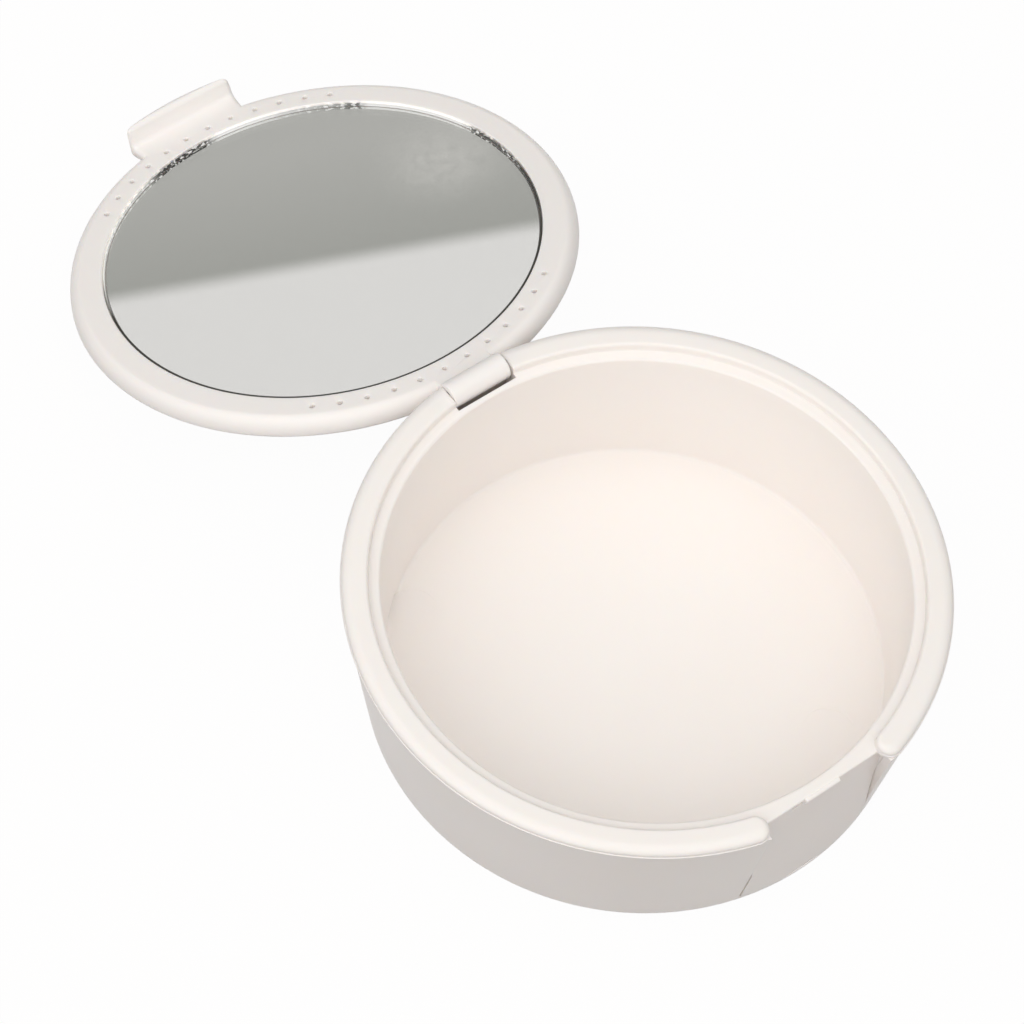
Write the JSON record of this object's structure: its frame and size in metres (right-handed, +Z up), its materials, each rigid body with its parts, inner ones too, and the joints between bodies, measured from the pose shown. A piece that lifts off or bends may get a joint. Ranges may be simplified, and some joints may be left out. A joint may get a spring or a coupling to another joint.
{
  "type": "denture case",
  "caption": "Round denture case with a rebated bowl, a flat latch front and a hinged lid that carries a round mirror and rows of vent holes.",
  "frame": {"origin": "middle of the bowl's flat underside, on the surface it stands on", "axes": "+Z up through the bowl's mouth; +Y from the bowl to the hinge and the open lid; +X along the hinge line; the latch is at -Y"},
  "size_m": [0.084, 0.159, 0.0268],
  "materials": {
    "bowl_plastic": "satin moulded polypropylene, cream white",
    "lid_plastic": "satin moulded polypropylene, cream white",
    "mirror_glass": "silvered float glass",
    "pin_steel": "drawn wire",
    "foam_tape": "matt foam"
  },
  "bodies": {
    "bowl": {"outer_shell": "bowl_plastic", "inner_tub": "bowl_plastic", "hinge_pin": "pin_steel"},
    "lid": {"lid": "lid_plastic", "mirror": "mirror_glass", "mirror_adhesive": "foam_tape"}
  },
  "joints": [
    {"name": "lid_hinge", "type": "hinge", "parent": "bowl", "child": "lid", "pos_m": [0, 0.03987, 0.02485], "axis": [1, 0, 0], "range_deg": [0, 196.3]}
  ]
}
